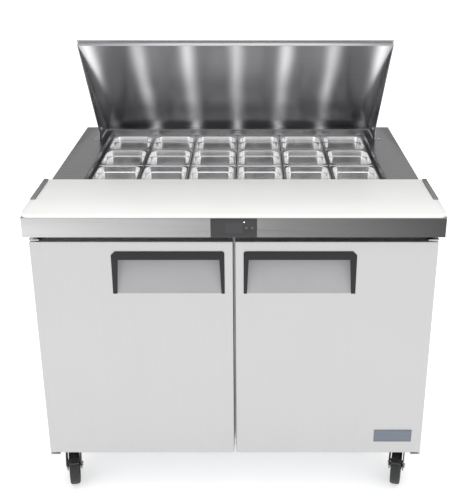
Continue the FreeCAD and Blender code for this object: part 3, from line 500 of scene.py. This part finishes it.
# %% [markdown]
# ## Food pans
# A small food pan is deep drawn: a flat rim with a turned-down edge, a mouth with wide round corners,
# a shoulder that stops stacked pans from jamming, and a rounded floor. The rim and the mouth are two
# rounded sheets joined by a ring of faces. The mouth is then pushed down step by step, the folds are
# rounded, and the sheet gets its thickness. The same pan is drawn in all eighteen places.

# %% Pans
PAN_COLUMNS = 6
RIM_WIDTH = 8 * MM
RIM_TURN = 1.2 * MM
RIM_RADIUS = 11 * MM
MOUTH_RADIUS = 27 * MM
SHOULDER_DROP = 21 * MM
SHOULDER_WIDTH = 3 * MM
FLOOR_RADIUS = 16 * MM


def rounded_sheet(mesh, width, length, radius):
    """A flat sheet with round corners, facing up."""
    made = bmesh.ops.create_grid(mesh, x_segments=1, y_segments=1, size=0.5)["verts"]
    bmesh.ops.scale(mesh, vec=(width, length, 1), verts=made)
    before = set(mesh.faces) - {face for vert in made for face in vert.link_faces}
    bmesh.ops.bevel(mesh, geom=made, offset=radius, offset_type="OFFSET", segments=6,
                    profile=0.5, affect="VERTICES", clamp_overlap=True, material=-1)
    sheet = next(face for face in mesh.faces if face not in before)
    sheet.normal_update()
    if sheet.normal.z < 0:
        sheet.normal_flip()
    return sheet


def drop_face(mesh, face, inset, drop, taper):
    """Insets a face, pushes the new inner face down and narrows it; returns that face."""
    if inset:
        bmesh.ops.inset_region(mesh, faces=[face], thickness=inset, use_even_offset=True)
    pushed = bmesh.ops.extrude_discrete_faces(mesh, faces=[face])["faces"][0]
    middle = pushed.calc_center_median()
    bmesh.ops.scale(mesh, vec=(taper, taper, 1), verts=pushed.verts, space=Matrix.Translation(-middle))
    bmesh.ops.translate(mesh, vec=(0, 0, -drop), verts=pushed.verts)
    return pushed


def pan_mesh(mesh, width, length, depth, place):
    """Draws one pan whose rim lies in the plane of place."""
    rim = rounded_sheet(mesh, width, length, RIM_RADIUS)
    mouth = rounded_sheet(mesh, width - 2 * RIM_WIDTH, length - 2 * RIM_WIDTH, MOUTH_RADIUS)
    outline = rim.edges[:]
    rim.normal_flip()
    bmesh.ops.bridge_loops(mesh, edges=outline + mouth.edges[:])
    bmesh.ops.delete(mesh, geom=[rim], context="FACES_ONLY")
    shoulder = drop_face(mesh, mouth, 0, SHOULDER_DROP, 0.985)
    floor = drop_face(mesh, shoulder, SHOULDER_WIDTH, depth - SHOULDER_DROP - 1.5 * MM, 0.93)
    turned_down = bmesh.ops.extrude_edge_only(mesh, edges=outline)["geom"]
    bmesh.ops.translate(mesh, vec=(0, 0, -RIM_TURN),
                        verts=[item for item in turned_down if isinstance(item, bmesh.types.BMVert)])
    bmesh.ops.recalc_face_normals(mesh, faces=mesh.faces)
    if floor.normal.z < 0:
        bmesh.ops.reverse_faces(mesh, faces=mesh.faces)
    ring = set(floor.edges)
    folds = [edge for edge in sharp_edges(mesh, 40) if edge not in ring and edge.calc_face_angle() < 2
             and abs(edge.verts[0].co.z - edge.verts[1].co.z) < 0.1 * MM]
    bevel(mesh, folds, 1.8 * MM, 3)
    lowest = min(vert.co.z for vert in mesh.verts)
    ring = [edge for edge in sharp_edges(mesh, 40) if all(vert.co.z < lowest + MM for vert in edge.verts)]
    bevel(mesh, ring, FLOOR_RADIUS, 5)
    bmesh.ops.solidify(mesh, geom=mesh.faces[:], thickness=0.7 * MM)
    bmesh.ops.translate(mesh, vec=place, verts=mesh.verts)


def pan_row(row):
    """Six pans on one row's place, as one piece."""
    low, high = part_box("pan_row_" + row)
    pitch = (high.x - low.x + 1.5 * MM) / PAN_COLUMNS
    whole = bmesh.new()
    for column in range(PAN_COLUMNS):
        single = bmesh.new()
        place = Vector((low.x + pitch * (column + 0.5) - 0.75 * MM, (low.y + high.y) / 2, high.z))
        pan_mesh(single, pitch - 1.5 * MM, high.y - low.y, high.z - low.z, place)
        held = bpy.data.meshes.new("pan")
        single.to_mesh(held)
        single.free()
        whole.from_mesh(held)
        bpy.data.meshes.remove(held)
    piece = new_piece(f"pans_{row}_drawn", whole, steel_pan, "pans_" + row, 50)
    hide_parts("pan_row_" + row)
    return piece


for row in ("front", "middle", "back"):
    print("pans:", row, len(pan_row(row).data.polygons), "faces")

# %% [markdown]
# ## Caster wheels
# A wheel is turned, so a profile spun about the axle is the natural way to make it: tread with round
# shoulders, a recessed side, a hub that stands proud, and a bore. The axle's place and direction
# come from the wheel's own joint.

# %% Wheels
WHEEL_PROFILE = [
    (-19, 5.3), (-19, 11), (-17, 13), (-11, 13.5), (-9, 17), (-9, 42), (-11, 46), (-14, 47),
    (-15.5, 49), (-16, 56), (-14.5, 59.5), (-11, 61.6), (-5, 62), (5, 62), (11, 61.6), (14.5, 59.5),
    (16, 56), (15.5, 49), (14, 47), (11, 46), (9, 42), (9, 17), (11, 13.5), (17, 13), (19, 11), (19, 5.3),
]


def turned(profile, steps):
    """A closed ring profile of (across, radius) in millimetres spun about the X axis."""
    mesh = bmesh.new()
    verts = [mesh.verts.new((across * MM, 0, radius * MM)) for across, radius in profile]
    edges = [mesh.edges.new((verts[step], verts[(step + 1) % len(verts)])) for step in range(len(verts))]
    bmesh.ops.spin(mesh, geom=verts + edges, cent=(0, 0, 0), axis=(1, 0, 0), dvec=(0, 0, 0),
                   angle=math.tau, steps=steps, use_merge=True, use_duplicate=False)
    bmesh.ops.recalc_face_normals(mesh, faces=mesh.faces)
    return mesh


def facing(direction):
    """The turn that takes +X to a horizontal direction."""
    return Matrix.Rotation(math.atan2(direction[1], direction[0]), 4, "Z")


for corner in ("front_left", "front_right", "rear_left", "rear_right"):
    joint = joints[f"wheel_{corner}_roll"]
    rolled = turned(WHEEL_PROFILE, 48)
    put = Matrix.Translation(Vector(joint["pos_m"])) @ facing(joint["axis"])
    bmesh.ops.transform(rolled, matrix=put, verts=rolled.verts)
    wheel = new_piece(f"wheel_{corner}_turned", rolled, tyre_rubber, "wheel_" + corner)
    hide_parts("caster_wheel_" + corner)
    nut = bmesh.new()
    for end in (-1, 1):
        made = bmesh.ops.create_cone(nut, cap_ends=True, segments=6, radius1=8 * MM, radius2=8 * MM,
                                     depth=5 * MM)["verts"]
        bmesh.ops.transform(nut, matrix=put @ Matrix.Translation((end * 26.5 * MM, 0, 0))
                            @ Matrix.Rotation(math.pi / 2, 4, "Y"), verts=made)
    bevel(nut, sharp_edges(nut), 0.8 * MM)
    nuts = new_piece(f"axle_nuts_{corner}", nut, zinc_hardware, "swivel_" + corner)
print("wheels: 4, axle nuts: 8")

# %% [markdown]
# ## Screws
# Panels are held with pan-head screws. A head is a low dome with a cross-shaped recess; at this size
# the dome and a dark slot are all that reads, and only the dome is drawn. The heads stand on the back
# panel, the grille and the pivot feet.

# %% Screw heads


def screw_heads(name, places, direction, radius_mm, body):
    """Dome heads at a list of points, all facing one way."""
    mesh = bmesh.new()
    turn = Vector((0, 0, 1)).rotation_difference(Vector(direction)).to_matrix().to_4x4()
    for point in places:
        made = bmesh.ops.create_uvsphere(mesh, u_segments=12, v_segments=6, radius=radius_mm * MM)["verts"]
        bmesh.ops.scale(mesh, vec=(1, 1, 0.45), verts=made)
        bmesh.ops.transform(mesh, matrix=Matrix.Translation(Vector(point)) @ turn, verts=made)
    piece = new_piece(name, mesh, zinc_hardware, body)
    return piece


back_low, back_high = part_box("back_panel")
grille_low, grille_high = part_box("rear_grille")
inset = 14 * MM
back_points = [(x, back_high.y, z) for x in (back_low.x + inset, 0, back_high.x - inset)
               for z in (back_low.z + inset, back_high.z - 46 * MM, grille_high.z - inset,
                         grille_low.z + inset)]
screw_heads("back_screws", back_points, (0, 1, 0), 4.5, "cabinet")
foot_low, foot_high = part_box("lid_pivot_brackets")
foot_points = [(sign * (foot_high.x - 9 * MM), (foot_low.y + foot_high.y) / 2 + step * 14 * MM,
                foot_low.z + 2 * MM) for sign in (-1, 1) for step in (-1, 1)]
screw_heads("pivot_screws", foot_points, (0, 0, 1), 3.5, "cabinet")
print("screws:", len(back_points) + len(foot_points))

# %% [markdown]
# ## Status lamp
# A tiny lens beside the display shows that the cooling is on. It is a low dome with a faint glow.

# %% Lamp
plate_low, plate_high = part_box("control_plate")
window_low, window_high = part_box("display_window")
lamp = bmesh.new()
bmesh.ops.create_uvsphere(lamp, u_segments=16, v_segments=8, radius=1.8 * MM)
bmesh.ops.scale(lamp, vec=(1, 0.35, 1), verts=lamp.verts)
lamp_place = (window_high.x + 5 * MM, plate_low.y, window_high.z + 2 * MM)
bmesh.ops.translate(lamp, vec=lamp_place, verts=lamp.verts)
lamp_lens = new_piece("status_lamp_lens", lamp, lamp_glow, "cabinet")
print("lamp ready")

# %% [markdown]
# ## Floor, light and camera
# A product shot is lit by large soft sources so that steel shows broad, even reflections. The
# surroundings give most of the light and are a little brighter to the front and above. Soft boxes at
# the front left and front right fill the doors, and one above lights the board and the pans. The floor
# glows a little, as a white sweep lit from below does, so that it stays white under the table.

# %% Studio
SKY_LEVEL = 0.66                    # brightness of the surroundings, on average
BRIGHT_SIDE = (0.06, -0.30, 0.30)  # they are brighter to the front and above
floor_mesh = bmesh.new()
bmesh.ops.create_grid(floor_mesh, x_segments=1, y_segments=1, size=30)
floor_data = bpy.data.meshes.new("floor")
floor_mesh.to_mesh(floor_data)
floor_mesh.free()
floor = bpy.data.objects.new("floor", floor_data)
bpy.context.scene.collection.objects.link(floor)
floor_finish, _, floor_shader, _ = start_material("pale_studio_floor", "#f4f4f4", 0.0, 0.6)
floor_shader.inputs["Emission Color"].default_value = colour("#ffffff")
floor_shader.inputs["Emission Strength"].default_value = 0.45
floor_data.materials.append(floor_finish)

world = bpy.data.worlds.new("studio")
bpy.context.scene.world = world
world.use_nodes = True
sky = world.node_tree
background = sky.nodes["Background"]
background.inputs["Color"].default_value = colour("#ffffff")
direction = add(sky, "ShaderNodeTexCoord").outputs["Generated"]
tilted = add(sky, "ShaderNodeVectorMath", {0: direction}, operation="DOT_PRODUCT")
tilted.inputs[1].default_value = BRIGHT_SIDE
strength = add(sky, "ShaderNodeMath", {0: tilted.outputs["Value"]}, operation="ADD")
strength.inputs[1].default_value = SKY_LEVEL
sky.links.new(strength.outputs[0], background.inputs["Strength"])


def soft_light(name, place, target, width, height, power):
    """A rectangular soft box at one point, aimed at another."""
    data = bpy.data.lights.new(name, "AREA")
    data.shape = "RECTANGLE"
    data.size = width
    data.size_y = height
    data.energy = power
    light = bpy.data.objects.new(name, data)
    light.location = place
    light.rotation_euler = (Vector(target) - Vector(place)).to_track_quat("-Z", "Y").to_euler()
    bpy.context.scene.collection.objects.link(light)
    return light


soft_light("front_left_box", (-2.6, -3.2, 2.2), (0, -0.3, 0.7), 2.6, 2.2, 12)
soft_light("front_right_box", (2.8, -3.0, 1.6), (0, -0.3, 0.6), 1.6, 2.0, 4)
soft_light("top_box", (0, -0.6, 3.4), (0, 0, 0.9), 2.6, 2.2, 18)
print("lights: 3")

# %% [markdown]
# ## Camera
# A normal lens stands in front of the table at about eye height. The lens is shifted rather than
# tilted further, so that upright edges lean only a little.

# %% Camera
CAMERA_PLACE = (0.0422, -2.5177, 1.8642)
CAMERA_TILT = 19.87
camera_data = bpy.data.cameras.new("camera")
camera_data.lens = 56.04
camera_data.sensor_width = 36.0
camera_data.shift_x = -0.0228
camera_data.shift_y = -0.1507
camera = bpy.data.objects.new("camera", camera_data)
camera.location = CAMERA_PLACE
camera.rotation_euler = (math.radians(90 - CAMERA_TILT), 0, 0)
bpy.context.scene.collection.objects.link(camera)
bpy.context.scene.camera = camera
bpy.context.scene.view_settings.view_transform = "Standard"
print("camera at", CAMERA_PLACE)
